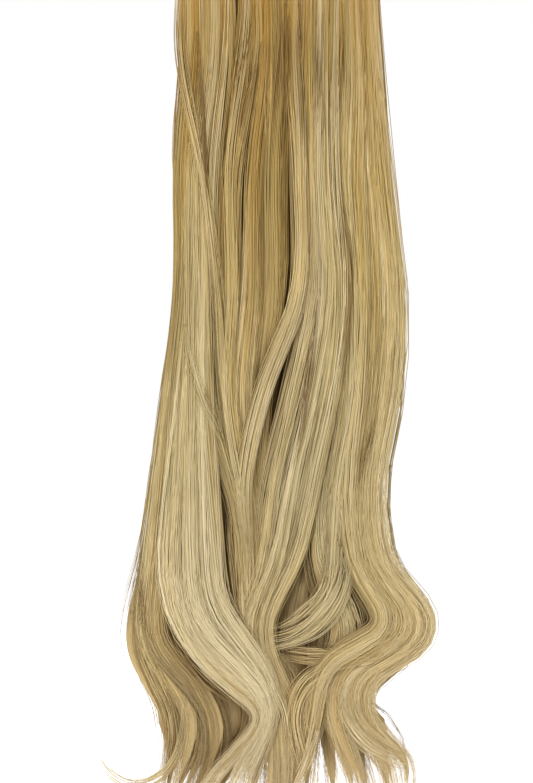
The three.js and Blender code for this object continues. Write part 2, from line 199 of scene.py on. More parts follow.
# The locks of the front row. Places across are shares of half the weft's width, places down of the drop.
# sway: the lock's middle at each station. ends: how far down it ends. width, lift and tone: high, in the
# middle and low. lift: how far it stands out, as a share of the row's lift. tone: how light it is, partly its
# own colour and partly painted light and shade: a painted highlight low on the swoop, painted shade low on
# the golden locks and the inner tail. ash: how far its gold turns to ash blonde. span: half its width at each
# station, in place of width. turn: points that its lower end follows, in place of the sway. curl: the radius
# of a last bow, and how many degrees it turns.
# tips: by what share of the lock its strands stop short at most, and a power that keeps more of them long.
# core: how far along it its mass reaches.
frontLocks = [
    {"name": "left tail",
     "sway": [-0.92, -0.91, -0.97, -0.97, -1.1, -1.2, -1.3, -1.45, -1.45, -1.25, -1.15, -1.12, -1.28],
     "width": [0.14, 0.18, 0.22], "lift": [0, 0.1, 0], "ends": 0.925, "curl": (0.42, 165),
     "tips": (0.45, 0.5), "core": 0.86, "tone": [0.5, 0.42, 0.26], "ash": 0.25},
    {"name": "left sheet",
     "sway": [-0.88, -0.88, -0.94, -0.93, -1.04, -1.15, -1.24, -1.29, -1.28, -1.11, -1.01, -0.97, -1.22],
     "turn": [(-1.26, 0.718), (-1.32, 0.757), (-1.33, 0.797), (-1.24, 0.823), (-1.05, 0.848),
              (-0.91, 0.872), (-0.86, 0.904), (-0.92, 0.935), (-1.04, 0.966)], "width": [0.12, 0.18, 0.26],
     "lift": [0.1, 0.2, 0], "ends": 1, "tone": [0.5, 0.48, 0.5], "ash": 0.35},
    # its tone falls low down: painted shade under the swoop
    {"name": "inner tail",
     "sway": [-0.85, -0.84, -0.92, -0.9, -1, -1.08, -1.13, -1.17, -1.12, -0.91, -0.79, -0.74, -1.02],
     "turn": [(-1.16, 0.718), (-1.22, 0.757), (-1.22, 0.795), (-1.08, 0.819), (-0.84, 0.845),
              (-0.66, 0.874), (-0.6, 0.904), (-0.67, 0.935), (-0.8, 0.972)], "width": [0.12, 0.18, 0.28],
     "lift": [0.1, 0.2, 0], "ends": 1, "tone": [0.5, 0.45, 0.3], "ash": 0.3},
    # the swoop's three locks rise in tone low down: a painted highlight where the swoop faces the light
    {"name": "swoop outer",
     "sway": [-0.82, -0.81, -0.89, -0.87, -0.96, -1.03, -1.08, -1.02, -0.82, -0.46, -0.28, -0.46, -1.1],
     "turn": [(-1.1, 0.705), (-1.07, 0.746), (-0.97, 0.783), (-0.79, 0.815), (-0.56, 0.839), (-0.32, 0.858),
              (-0.16, 0.87), (-0.13, 0.883), (-0.24, 0.901), (-0.44, 0.923), (-0.66, 0.949), (-0.8, 0.977)],
     "span": swoopSpan, "lift": [0.2, 0.6, 0.9], "ends": 1, "tone": [0.55, 0.62, 0.88], "ash": 0.5},
    {"name": "swoop middle",
     "sway": [-0.73, -0.72, -0.85, -0.82, -0.86, -0.88, -0.86, -0.77, -0.55, -0.22, -0.15, -0.37, -0.94],
     "turn": [(-0.88, 0.705), (-0.86, 0.746), (-0.76, 0.78), (-0.57, 0.807), (-0.34, 0.83), (-0.17, 0.85),
              (-0.09, 0.867), (-0.09, 0.884), (-0.21, 0.907), (-0.38, 0.932), (-0.53, 0.972)],
     "span": swoopSpan, "lift": [0.2, 0.7, 1], "ends": 1, "tone": [0.55, 0.66, 0.92], "ash": 0.55},
    {"name": "swoop inner",
     "sway": [-0.64, -0.63, -0.79, -0.76, -0.75, -0.7, -0.64, -0.52, -0.29, -0.06, -0.07, -0.27, -0.82],
     "turn": [(-0.66, 0.705), (-0.63, 0.746), (-0.52, 0.774), (-0.36, 0.797), (-0.2, 0.818), (-0.09, 0.841),
              (-0.04, 0.865), (-0.06, 0.887), (-0.16, 0.914), (-0.28, 0.944), (-0.37, 0.983)],
     "span": swoopSpan, "lift": [0.1, 0.6, 0.8], "ends": 1, "tone": [0.5, 0.6, 0.82], "ash": 0.55},
    {"name": "left crossing", "sway": [-0.96, -0.97, -0.75, -0.59, -0.52, -0.4],
     "width": [0.06, 0.07, 0.06], "lift": [0.9, 0.8, 0], "ends": 0.62, "strands": 40,
     "tone": [0.6, 0.6, 0.6], "ash": 0.4},
    {"name": "diagonal",
     "sway": [-0.54, -0.53, -0.66, -0.7, -0.73, -0.47, -0.32, -0.32, -0.22, -0.06, 0.04, 0.02, 0.06],
     "width": [0.18, 0.2, 0.17], "lift": [0.2, 0.2, 0.2], "ends": 1, "tone": [0.45, 0.5, 0.45], "ash": 0.5},
    # the three golden locks fall in tone low down: painted shade in the valley where they sink behind their
    # neighbours
    {"name": "golden left",
     "sway": [-0.3, -0.31, -0.47, -0.48, -0.51, -0.37, -0.28, -0.3, -0.22, -0.1, -0.06, -0.1, -0.16],
     "width": [0.2, 0.18, 0.16], "lift": [0.6, 0.5, 0], "ends": 0.775, "tone": [0.45, 0.46, 0.3],
     "ash": 0.35},
    {"name": "golden middle",
     "sway": [-0.16, -0.13, -0.25, -0.26, -0.36, -0.3, -0.24, -0.26, -0.18, -0.06, -0.02, -0.04, -0.08],
     "width": [0.18, 0.2, 0.18], "lift": [0.6, 0.5, 0], "ends": 0.815, "tone": [0.42, 0.5, 0.3],
     "ash": 0.1},
    {"name": "golden right",
     "sway": [-0.01, 0.01, -0.05, -0.06, -0.18, -0.22, -0.2, -0.22, -0.14, 0, 0.04, 0.04, 0.02],
     "width": [0.24, 0.24, 0.2], "lift": [0.5, 0.1, 0], "ends": 0.775, "tone": [0.38, 0.4, 0.25],
     "ash": 0.2},
    {"name": "crossing", "sway": [0.16, 0.16, 0.21, 0.2, -0.16, -0.34, -0.29], "width": [0.1, 0.14, 0.14],
     "lift": [0.2, 1, 0.2], "ends": 0.705, "tone": [0.6, 0.72, 0.6], "ash": 0.35},
    {"name": "centre left",
     "sway": [0.33, 0.31, 0.31, 0.35, 0.16, -0.05, -0.15, -0.33, -0.3, -0.12, -0.06, -0.04, -0.07],
     "width": [0.17, 0.21, 0.22], "lift": [0.6, 0.5, 0.4], "ends": 1, "tone": [0.5, 0.62, 0.5], "ash": 0.5},
    {"name": "centre",
     "sway": [0.48, 0.47, 0.45, 0.5, 0.35, 0.15, 0.02, -0.24, -0.2, -0.02, 0.03, 0.06, 0.06],
     "width": [0.16, 0.2, 0.22], "lift": [0.6, 0.6, 0.5], "ends": 1, "tone": [0.52, 0.64, 0.5], "ash": 0.7},
    {"name": "centre right",
     "sway": [0.59, 0.57, 0.52, 0.61, 0.51, 0.34, 0.18, -0.12, -0.08, 0.09, 0.14, 0.17, 0.22],
     "width": [0.14, 0.18, 0.2], "lift": [0.5, 0.5, 0.4], "ends": 0.925, "tone": [0.5, 0.6, 0.5],
     "ash": 0.7},
    {"name": "centre shadow",
     "sway": [0.68, 0.68, 0.65, 0.73, 0.64, 0.49, 0.43, 0.66, 0.62, 0.38, 0.27, 0.22, 0.12],
     "width": [0.13, 0.16, 0.44], "lift": [0.3, 0.2, 0], "ends": 0.93, "tone": [0.42, 0.5, 0.48],
     "ash": 0.75},
    {"name": "hooked curl",
     "sway": [0.71, 0.72, 0.69, 0.79, 0.74, 0.59, 0.55, 0.48, 0.47, 0.34, 0.3, 0.3, 0.34],
     "width": [0.14, 0.17, 0.1], "lift": [0.5, 0.5, 0.5], "ends": 0.74, "curl": (0.65, 78),
     "tone": [0.52, 0.6, 0.68], "ash": 0.5},
    {"name": "right inner",
     "sway": [0.78, 0.81, 0.81, 0.89, 0.83, 0.7, 0.74, 1.26, 0.88, 0.46, 0.41, 0.39, 0.1],
     "turn": [(0.74, 0.705), (0.86, 0.731), (1, 0.752), (1.09, 0.767), (1.08, 0.781), (0.97, 0.792),
              (0.8, 0.8), (0.62, 0.809), (0.46, 0.824), (0.38, 0.848), (0.36, 0.881), (0.28, 0.921),
              (0.18, 0.966)], "width": [0.14, 0.18, 0.22], "lift": [0.5, 0.5, 0.6], "ends": 1,
     "tone": [0.5, 0.55, 0.55], "ash": 0.35},
    {"name": "right middle",
     "sway": [0.84, 0.88, 0.9, 1.01, 0.94, 0.81, 0.85, 1.35, 1.03, 0.6, 0.55, 0.64, 0.84],
     "turn": [(0.85, 0.705), (0.98, 0.731), (1.14, 0.752), (1.25, 0.769), (1.25, 0.784), (1.15, 0.797),
              (0.98, 0.806), (0.78, 0.815), (0.63, 0.828), (0.55, 0.849), (0.55, 0.878), (0.63, 0.91),
              (0.75, 0.936), (0.83, 0.96), (0.84, 0.984)], "width": [0.13, 0.18, 0.22],
     "lift": [0.5, 0.6, 0.5], "ends": 0.96, "tone": [0.52, 0.58, 0.62], "ash": 0.3},
    {"name": "right outer",
     "sway": [0.89, 0.93, 0.99, 1.11, 1.05, 0.9, 0.95, 1.44, 1.18, 0.74, 0.69, 0.88, 1.12],
     "turn": [(0.95, 0.705), (1.08, 0.729), (1.25, 0.749), (1.38, 0.767), (1.4, 0.786), (1.32, 0.801),
              (1.16, 0.812), (0.96, 0.819), (0.8, 0.831), (0.71, 0.848), (0.71, 0.869), (0.78, 0.894),
              (0.93, 0.916), (1.08, 0.932), (1.17, 0.95), (1.16, 0.977)], "width": [0.13, 0.18, 0.22],
     "lift": [0.4, 0.5, 0.4], "ends": 1, "tone": [0.55, 0.6, 0.62], "ash": 0.35},
    {"name": "right edge",
     "sway": [0.94, 0.98, 1.07, 1.2, 1.16, 0.99, 1.06, 1.53, 1.33, 0.88, 0.85, 1.12, 1.3],
     "turn": [(1.06, 0.705), (1.19, 0.728), (1.37, 0.747), (1.51, 0.765), (1.54, 0.786), (1.48, 0.804),
              (1.32, 0.816), (1.12, 0.824), (0.95, 0.834), (0.86, 0.851), (0.85, 0.871), (0.93, 0.895),
              (1.09, 0.914), (1.25, 0.927), (1.34, 0.94), (1.35, 0.958), (1.26, 0.977)],
     "width": [0.12, 0.17, 0.18], "lift": [0.2, 0.3, 0.3], "ends": 0.97, "tone": [0.55, 0.62, 0.66],
     "ash": 0.45},
]

# Wisps that lie over the front row. points: x as a share of half the weft's width, and the share of the drop
wisps = [
    {"points": [(-0.93, 0.44), (-0.87, 0.48), (-0.77, 0.52), (-0.66, 0.55), (-0.54, 0.575)], "width": 0.1,
     "lift": 1.05, "strands": 36, "clumps": 6, "tone": 0.6, "ash": 0.7},
    {"points": [(-0.98, 0.18), (-0.88, 0.215), (-0.78, 0.26), (-0.7, 0.3)], "width": 0.08, "lift": 0.7,
     "strands": 24, "clumps": 5, "tone": 0.6, "ash": 0.4},
    {"points": [(-0.92, 0.86), (-0.95, 0.905), (-1.08, 0.94), (-1.28, 0.958), (-1.5, 0.962), (-1.7, 0.95),
                (-1.84, 0.925), (-1.88, 0.905)], "width": 0.05, "lift": 0.4, "strands": 24, "clumps": 3,
     "tone": 0.55, "ash": 0.9},
    {"points": [(-0.2, 0.814), (-0.04, 0.848), (0.06, 0.876), (0.08, 0.907)], "width": 0.05, "lift": 1.05,
     "strands": 20, "clumps": 3, "tone": 0.66, "ash": 0.4},
    {"points": [(0.64, 0.69), (0.61, 0.723), (0.51, 0.752), (0.32, 0.775), (0.1, 0.79), (-0.16, 0.797)],
     "width": 0.34, "lift": 0.8, "strands": 120, "clumps": 20, "tone": 0.56, "ash": 0.5},
    {"points": [(1.2, 0.797), (1.02, 0.808), (0.72, 0.813), (0.37, 0.814), (0.05, 0.81)], "width": 0.24,
     "lift": 0.6, "strands": 100, "clumps": 20, "tone": 0.38, "ash": 0.2},
    {"points": [(0.82, 0.822), (0.52, 0.828), (0.28, 0.847), (0.18, 0.878), (0.22, 0.915), (0.34, 0.966)],
     "width": 0.26, "lift": 0.75, "strands": 60, "clumps": 8, "tone": 0.55, "ash": 0.4},
    {"points": [(0.67, 0.847), (0.71, 0.878), (0.88, 0.907), (1.14, 0.927), (1.44, 0.937)], "width": 0.24,
     "lift": 0.7, "strands": 60, "clumps": 8, "tone": 0.66, "ash": 0.5},
    {"points": [(0.4, 0.896), (0.32, 0.919), (0.18, 0.955), (0.08, 0.977)], "width": 0.07, "lift": 0.9,
     "strands": 24, "clumps": 4, "tone": 0.72, "ash": 0.4},
    # dark, low in the valley: painted shade where the golden locks sink behind the swoop and the centre
    {"points": [(-0.38, 0.628), (-0.4, 0.673), (-0.38, 0.718), (-0.34, 0.757), (-0.28, 0.797)],
     "width": 0.26, "lift": 0.35, "strands": 50, "clumps": 8, "tone": 0.22, "ash": 0.05},
    {"points": [(-1.39, 0.763), (-1.36, 0.808), (-1.23, 0.845), (-1.11, 0.874), (-1.06, 0.904),
                (-1.09, 0.938), (-1.18, 0.972)], "width": 0.2, "lift": 0.2, "strands": 56, "clumps": 8,
     "tone": 0.34, "ash": 0.2},
    {"points": [(-0.02, 0.814), (0.12, 0.837), (0.18, 0.87), (0.18, 0.91), (0.22, 0.966)], "width": 0.2,
     "lift": 0.6, "strands": 40, "clumps": 8, "tone": 0.4, "ash": 0.2},
]

# Dark strands laid over the locks as painted shade along the shadowed gaps between them, where hair lies
# deep, as points like those of the wisps
paintedShadowLines = [
    [(-0.23, 0.074), (-0.31, 0.12), (-0.41, 0.159), (-0.48, 0.199), (-0.53, 0.238)],
    [(-0.16, 0.12), (-0.26, 0.159), (-0.35, 0.199), (-0.41, 0.278)],
    [(0.07, 0.074), (0.06, 0.142), (0.05, 0.208)],
    [(0.22, 0.074), (0.21, 0.142), (0.26, 0.244)],
    [(0.66, 0.074), (0.63, 0.131), (0.6, 0.187), (0.57, 0.233)],
    [(0.42, 0.086), (0.4, 0.165), (0.44, 0.244), (0.5, 0.323)],
    [(-0.82, 0.108), (-0.77, 0.187), (-0.73, 0.266), (-0.68, 0.345)],
    [(0.63, 0.3), (0.71, 0.357), (0.73, 0.413), (0.64, 0.492)],
    [(1, 0.52), (0.94, 0.56), (0.84, 0.605), (0.72, 0.644)],
    [(-1.36, 0.707), (-1.37, 0.752), (-1.32, 0.791), (-1.22, 0.819)],
    [(-1.08, 0.78), (-0.98, 0.806), (-0.8, 0.835), (-0.56, 0.858), (-0.28, 0.875)],
    [(0.4, 0.413), (0.34, 0.481), (0.24, 0.56), (0.14, 0.628)],
]
# these strands are painted shade: they lie on top of the locks, darker than the hair, along the gaps between
# them
wisps += [
    {"points": points, "width": 0.025, "lift": 1.15, "strands": 10, "clumps": 2, "tone": 0.13, "ash": 0.1}
    for points in paintedShadowLines
]
for wisp in wisps:
    # the same all the way down, and it starts and ends softly
    for key in ("width", "lift", "tone"):
        wisp[key] = [wisp[key]] * 3
    wisp.update(tips=(0.5, 1), rooted=False)

# The rows, from the one at the band to the front one. lane: the row's place in depth. facing: -1 where it
# shows its back. sheets: how many locks fill a row that doesn't follow the photo. overlap: half their width,
# as a share of the space between them. free: the share of strands that stray from their clump. fullness:
# how much of a lock its mass takes. atRoot: how much of that near the band. sideLanes: depths, in lanes, of
# the thin locks at both sides. pieces: the endings of the names that its strands are split into.
hairRows = [
    {"name": "hair_row_back", "lane": 0, "facing": -1, "lift": 0.005, "sheets": 12, "overlap": 0.75,
     "ends": 0.985, "tone": [0.5, 0.52, 0.56], "strands": 77, "clumps": 7, "free": 0.5, "fullness": 0.85,
     "atRoot": 0.8, "tips": (0.05, 1.4), "seed": 11, "pieces": ["_strands"]},
    {"name": "hair_row_middle", "lane": 1, "facing": 1, "lift": 0, "sheets": 17, "overlap": 0.8,
     "ends": 0.997, "tone": [0.44, 0.44, 0.42], "strands": 52, "clumps": 7, "free": 0.6, "fullness": 0.85,
     "atRoot": 1.25, "tips": (0.04, 1.4), "seed": 12, "pieces": ["_strands"],
     "sideLanes": (0.2, 0.42, 0.68, 1.3, 1.6)},
    {"name": "hair_row_front", "lane": 2, "facing": 1, "lift": 0.007, "strands": 126, "clumps": 9,
     "free": 0.3, "fullness": 0.62, "atRoot": 0.45, "tips": (0.04, 1.2), "seed": 13, "wisps": wisps,
     "pieces": ["_strands_left", "_strands_centre", "_strands_right"]},
]
fillForm = {
    "inset": 0.2,  # of the first and last lock, in locks of the front row
    "leastSpan": 0.05,
    "ash": 0.4,
}
sideForm = {
    "strands": 28,
    "clumps": 4,
    "tone": [0.4, 0.42, 0.42],
    "ends": 0.93,
    "stagger": 0.05,  # how much higher they end, for each lane away from a row
}


def blend(first, second, share):
    return first + (second - first) * share


def smoothStep(value, low, high):
    t = np.clip((value - low) / (high - low), 0, 1)
    return t * t * (3 - 2 * t)


def smoothValue(stations, values, share):
    # the smooth curve through a short list of values
    last = len(values) - 1
    stations, values = np.array(stations[: last + 1], float), np.array(values, float)
    before, after = np.maximum(np.arange(last + 1) - 1, 0), np.minimum(np.arange(last + 1) + 1, last)
    slope = (values[after] - values[before]) / (stations[after] - stations[before])
    i = np.searchsorted(stations[1:last], share, side="left")
    span = stations[i + 1] - stations[i]
    t = (share - stations[i]) / span
    rise = t * t * (3 - 2 * t)
    bend = t * (1 - t) * span * ((1 - t) * slope[i] - t * slope[i + 1])
    return values[i] + rise * (values[i + 1] - values[i]) + bend


def profileValue(values, share):
    places = hairForm["profileStations"]
    return smoothValue(places, values, np.clip(share, places[0], places[2]))


def depthAt(x, z, lane, proud):
    # y of a place in a row that lies proud of the row's middle surface
    form = hairForm
    fill = smoothStep(-z, form["trackHeight"], form["fillLength"])
    pitch = form["trackThickness"] + form["seatGap"]
    atTrack = -form["bandThickness"] - form["seatGap"] - form["trackThickness"] / 2 - lane * pitch
    side = np.minimum(np.abs(x) / (form["sideReach"] * form["halfWeft"]), 1)
    thinning = 1 - form["sideThinning"] * fill * side * side
    middle = -1.5 * form["rowPitch"]
    inFull = blend(middle, -(lane + 0.5) * form["rowPitch"], thinning)
    wave = np.sin(2 * math.pi * (-z + form["swingLead"] * x / form["halfWeft"]) / form["swingLength"])
    swing = fill * form["swingDepth"] * (-z / form["drop"]) * wave
    return blend(atTrack, inFull, fill) + swing - proud * thinning


def lockLine(lock):
    # the lock's middle line, closely sampled: x, z, heading, half its width, share of the drop, length so far
    form = hairForm
    stations = np.array(form["stations"])
    if "points" in lock:
        x, share = np.array(lock["points"]).T
        x = form["halfWeft"] * x
    else:
        share = np.append(stations[stations < lock["ends"] - form["leastStep"]], lock["ends"])
        x = form["halfWeft"] * smoothValue(stations, lock["sway"], share)
    if "turn" in lock:
        turnX, turnShare = np.array(lock["turn"]).T
        above = share < turnShare[0] - 2 * form["leastStep"]
        x, share = np.append(x[above], form["halfWeft"] * turnX), np.append(share[above], turnShare)
    z = -form["drop"] * share
    chord = np.append(0, np.cumsum(np.hypot(np.diff(x), np.diff(z))))
    fine = np.linspace(0, chord[-1], form["samples"])
    x, z = smoothValue(chord, x, fine), smoothValue(chord, z, fine)
    kernel = np.ones(form["rounding"]) / form["rounding"]
    inside = slice(form["rounding"] // 2, -(form["rounding"] // 2))
    for _ in range(form["roundings"]):
        x[inside], z[inside] = np.convolve(x, kernel, "valid"), np.convolve(z, kernel, "valid")
    share = -z / form["drop"]
    heading = np.arctan2(np.gradient(z), np.gradient(x))
    if "curl" in lock:
        reach, angle = lock["curl"][0] * form["halfWeft"], math.radians(lock["curl"][1])
        turned = -np.linspace(0, angle, form["curlSamples"] + 1)[1:]
        side = np.array([math.sin(heading[-1]), -math.cos(heading[-1])])
        middle = np.array([x[-1], z[-1]]) + side * reach
        away = -side * reach
        x = np.append(x, middle[0] + away[0] * np.cos(turned) - away[1] * np.sin(turned))
        z = np.append(z, middle[1] + away[0] * np.sin(turned) + away[1] * np.cos(turned))
        heading = np.append(heading, heading[-1] + turned)
        share = np.append(share, np.full(form["curlSamples"], share[-1]))
    if "span" in lock:
        halfWidth = form["halfWeft"] * smoothValue(stations, lock["span"], share)
    else:
        halfWidth = form["halfWeft"] * profileValue(lock["width"], share) / 2
    soFar = np.append(0, np.cumsum(np.hypot(np.diff(x), np.diff(z))))
    bending = np.abs(np.gradient(np.unwrap(heading), soFar))
    return {"x": x, "z": z, "heading": heading, "halfWidth": halfWidth, "share": share, "soFar": soFar,
            "bending": bending, "length": soFar[-1]}


def alongLock(line, part, ends):
    # lengths along the lock for shares of it, up to where it ends. They lie closer near the band and in curls
    form = hairForm
    weight = blend(form["rootRings"], 1, smoothStep(line["share"], *form["rootRingsEase"]))
    weight = weight + form["bendRings"] * line["bending"]
    measure = np.append(0, np.cumsum(weight[1:] * np.diff(line["soFar"])))
    return np.interp(part * np.interp(ends * line["length"], line["soFar"], measure), measure, line["soFar"])


def placeOnLock(lock, row, line, order, soFar, across, out, tipShare):
    # places at a length along the lock, across it from -1 to 1, and out of it from -1 to 1
    form = hairForm
    x, z, heading, halfWidth, share = (
        np.interp(soFar, line["soFar"], line[key]) for key in ("x", "z", "heading", "halfWidth", "share")
    )
    toGo = line["length"] - soFar
    taper = blend(tipShare, 1, np.sin(np.clip(toGo / form["taperLength"], 0, 1) * math.pi / 2))
    fill = smoothStep(-z, form["trackHeight"], form["fillLength"])
    lane = lock.get("lane", row["lane"])
    halfWidth = halfWidth * taper
    halfDepth = blend(form["rootThickness"], form["lockThickness"], fill) * taper / 2
    step = blend(form["rootStagger"], form["lockStagger"], fill)
    lift = profileValue(lock["lift"], share) * row["lift"] * fill + (order % form["layers"]) * step
    aside = halfWidth * across * row["facing"]
    x = x + np.sin(heading) * aside
    z = z - np.cos(heading) * aside
    y = depthAt(x, z, lane, (lift + halfDepth * out) * row["facing"])
    return np.stack([x, y, z], axis=-1)


def fillingLocks(row):
    # the locks of a row that fills the valleys: side by side, from the first to the last of the front row
    followed = [lock for lock in frontLocks if len(lock["sway"]) == len(hairForm["stations"])]
    sways = np.sort(np.array([lock["sway"] for lock in followed]), axis=0) * hairForm["gather"]
    lifts = np.array([lock["lift"] for lock in followed])
    places = np.linspace(fillForm["inset"], len(followed) - 1 - fillForm["inset"], row["sheets"])
    order = np.arange(len(followed))
    sway = np.array([np.interp(places, order, values) for values in sways.T])
    lift = np.array([np.interp(places, order, values) for values in lifts.T])
    span = np.maximum(np.abs(np.gradient(sway, axis=1)) * row["overlap"], fillForm["leastSpan"])
    return [
        {"sway": list(sway[:, i]), "span": list(span[:, i]), "lift": list(lift[:, i]), "ends": row["ends"],
         "tone": row["tone"], "ash": fillForm["ash"]}
        for i in range(row["sheets"])
    ]


def sideLocks(row):
    # at both sides, thin locks between the rows, which close the gaps that show from the side
    form = sideForm
    outermost = fillingLocks(row)[:: row["sheets"] - 1]
    return [
        {**lock, "lane": lane, "strands": form["strands"], "clumps": form["clumps"], "tone": form["tone"],
         "ends": form["ends"] - form["stagger"] * (lane % 1)}
        for lock in outermost for lane in row.get("sideLanes", ())
    ]


# Hair finish

hairFinish = {
    "golden": [(0, (0.49, 0.28, 0.052)), (0.3, (0.61, 0.415, 0.122)), (0.62, (0.615, 0.467, 0.198)),
               (1, (0.84, 0.62, 0.29))],
    "ashen": [(0, (0.42, 0.29, 0.1)), (0.3, (0.53, 0.42, 0.165)), (0.62, (0.56, 0.47, 0.24)),
              (1, (0.75, 0.61, 0.33))],
    # the dark and light ends of tone. Tone holds the hair's own darker and lighter strands, and also painted
    # shade and painted highlight
    "lowlight": (0.24, 0.14, 0.045),
    "highlight": (0.86, 0.74, 0.48),
    "shadow": (0.33, 0.245, 0.13),  # what is left of the colour deep between the locks
    "roughness": 0.52,
    "specular": 0.28,
    "fibres": (120, 5, 1),  # how often they repeat, round the mass, along it and through it
    "fibreDetail": 3,
    "fibreRelief": (0.6, 0.0004),
    "fibreStreaks": [(0.3, (0.45, 0.4, 0.32)), (0.7, white)],
}


def addRamp(tree, value, stops):
    # turns a value into a colour
    ramp = tree.nodes.new("ShaderNodeValToRGB")
    while len(ramp.color_ramp.elements) < len(stops):
        ramp.color_ramp.elements.new(1)
    for element, (place, colour) in zip(ramp.color_ramp.elements, stops):
        element.position, element.color = place, (*colour, 1)
    tree.links.new(value, ramp.inputs["Fac"])
    return ramp.outputs["Color"]


def addMix(tree, kind, amount, first, second):
    # mixes two colours. Each of the three inputs is an output of another node, or a constant
    mix = tree.nodes.new("ShaderNodeMixRGB")
    mix.blend_type = kind
    for key, value in (("Fac", amount), ("Color1", first), ("Color2", second)):
        if isinstance(value, bpy.types.NodeSocket):
            tree.links.new(value, mix.inputs[key])
        else:
            mix.inputs[key].default_value = value if key == "Fac" else (*value, 1)
    return mix.outputs["Color"]


def addNoise(tree, place, scale, detail):
    noise = tree.nodes.new("ShaderNodeTexNoise")
    setInputs(noise, {"Scale": scale, "Detail": detail})
    tree.links.new(place, noise.inputs["Vector"])
    return noise.outputs["Fac"]


def addBump(tree, height, strength, distance, shader):
    bump = tree.nodes.new("ShaderNodeBump")
    setInputs(bump, {"Strength": strength, "Distance": distance})
    tree.links.new(height, bump.inputs["Height"])
    tree.links.new(bump.outputs["Normal"], shader.inputs["Normal"])


def addAttribute(tree, name):
    attribute = tree.nodes.new("ShaderNodeAttribute")
    attribute.attribute_name = name
    return attribute.outputs["Fac"]


def addHairMaterial(name, withFibres):
    # golden to ashen down the hair, darker or lighter by tone, and shaded where it lies deep
    finish = hairFinish
    material, tree, shader = startMaterial(name)
    along, tone, ash, shade = (addAttribute(tree, key) for key in ("along", "tone", "ash", "shade"))
    golden = addRamp(tree, along, finish["golden"])
    ashen = addRamp(tree, along, finish["ashen"])
    colour = addMix(tree, "MIX", ash, golden, ashen)
    colour = addMix(tree, "MIX", addRamp(tree, tone, [(0, white), (0.5, black)]), colour, finish["lowlight"])
    colour = addMix(tree, "MIX", addRamp(tree, tone, [(0.5, black), (1, white)]), colour, finish["highlight"])
    if withFibres:
        place = tree.nodes.new("ShaderNodeUVMap")
        stretch = tree.nodes.new("ShaderNodeMapping")
        stretch.inputs["Scale"].default_value = finish["fibres"]
        tree.links.new(place.outputs["UV"], stretch.inputs["Vector"])
        fibres = addNoise(tree, stretch.outputs["Vector"], 1, finish["fibreDetail"])
        addBump(tree, fibres, *finish["fibreRelief"], shader)
        colour = addMix(tree, "MULTIPLY", 1, colour, addRamp(tree, fibres, finish["fibreStreaks"]))
    colour = addMix(tree, "MULTIPLY", shade, colour, finish["shadow"])
    tree.links.new(colour, shader.inputs["Base Color"])
    setInputs(shader, {"Roughness": finish["roughness"], "Specular IOR Level": finish["specular"]})
    return material


strandMaterial = addHairMaterial("hairStrand", False)
massMaterial = addHairMaterial("hairMass", True)

# How deep a place lies in the hair, from either side, which darkens it as hair shades itself

depthShade = {
    "cell": 0.0015,
    "margin": 0.03,
    "between": 6,  # places marked between two rings of a strand
    # rounds: how far the surface is evened out. Light falls from the first depth to the full one, by the most
    "near": {"rounds": 10, "first": 0.0006, "full": 0.0065, "most": 0.55},
    "far": {"rounds": 60, "first": 0.001, "full": 0.013, "most": 0.36},
}
shadeMaps = {}


def blurred(grid):
    for axis in (0, 1):
        grid = (np.roll(grid, 1, axis) + grid + np.roll(grid, -1, axis)) / 3
    return grid


def mapSurfaces(places):
    # the hair's front and back surfaces on a grid of x and z, evened out over a small and a large reach
    form = depthShade
    # just short of the last ring, so that there is always a next one
    fine = np.linspace(0, places.shape[1] - 1.001, places.shape[1] * form["between"])
    low = fine.astype(int)
    mix = (fine - low)[None, :, None]
    points = (places[:, low] * (1 - mix) + places[:, low + 1] * mix).reshape(-1, 3)
    origin = points[:, [0, 2]].min(axis=0) - form["margin"]
    size = np.ceil((points[:, [0, 2]].max(axis=0) + form["margin"] - origin) / form["cell"]).astype(int)
    cells = ((points[:, [0, 2]] - origin) / form["cell"]).astype(int)
    shadeMaps["origin"], shadeMaps["size"] = origin, size
    for side, sign in (("front", 1), ("back", -1)):
        outermost = np.full(size, np.inf)
        np.minimum.at(outermost, (cells[:, 0], cells[:, 1]), sign * points[:, 1])
        known = np.isfinite(outermost)
        level, weight = np.where(known, outermost, 0), known.astype(float)
        for done in range(1, form["far"]["rounds"] + 1):
            level, weight = blurred(level), blurred(weight)
            if done == form["near"]["rounds"]:
                shadeMaps[side, "near"] = level / np.maximum(weight, 1e-6)
        shadeMaps[side, "far"] = level / np.maximum(weight, 1e-6)


def shadeAt(places):
    cells = ((places[..., [0, 2]] - shadeMaps["origin"]) / depthShade["cell"]).astype(int)
    i, j = (np.clip(cells[..., axis], 0, shadeMaps["size"][axis] - 1) for axis in (0, 1))
    light = 1
    for reach in ("near", "far"):
        form = depthShade[reach]
        inFront = places[..., 1] - shadeMaps["front", reach][i, j]
        behind = -shadeMaps["back", reach][i, j] - places[..., 1]
        depth = np.minimum(inFront, behind)
        light = light * (1 - form["most"] * smoothStep(depth, form["first"], form["full"]))
    return 1 - light


# Hair masses

massForm = {
    "sides": 12,
    "rings": 44,
    "core": 0.985,  # how far along a lock its mass reaches, where the lock doesn't say
    "tipShare": 0.55,  # of the lock's width that is left at its tip
    "swellEase": (0.06, 0.2),  # lengths below the band between which it comes to its full size
    "poleSlope": 4,  # how fast the first and last rings widen
    "outShares": (0.8, 0.9),  # how far it reaches out of the lock and into it
    # somewhat darker than the strands: painted shade where the mass shows between them
    "tone": 0.4,
    "ash": 0.3,
}


def selectOnly(*things):
    bpy.ops.object.select_all(action="DESELECT")
    for thing in things:
        thing.select_set(True)
    bpy.context.view_layer.objects.active = things[0]


def paint(mesh, values):
    # writes each value as an attribute of the mesh's points, which the hair materials read
    for key, value in values.items():
        spread = np.broadcast_to(np.asarray(value, np.float32), len(mesh.vertices))
        mesh.attributes.new(key, "FLOAT", "POINT").data.foreach_set("value", np.ascontiguousarray(spread))


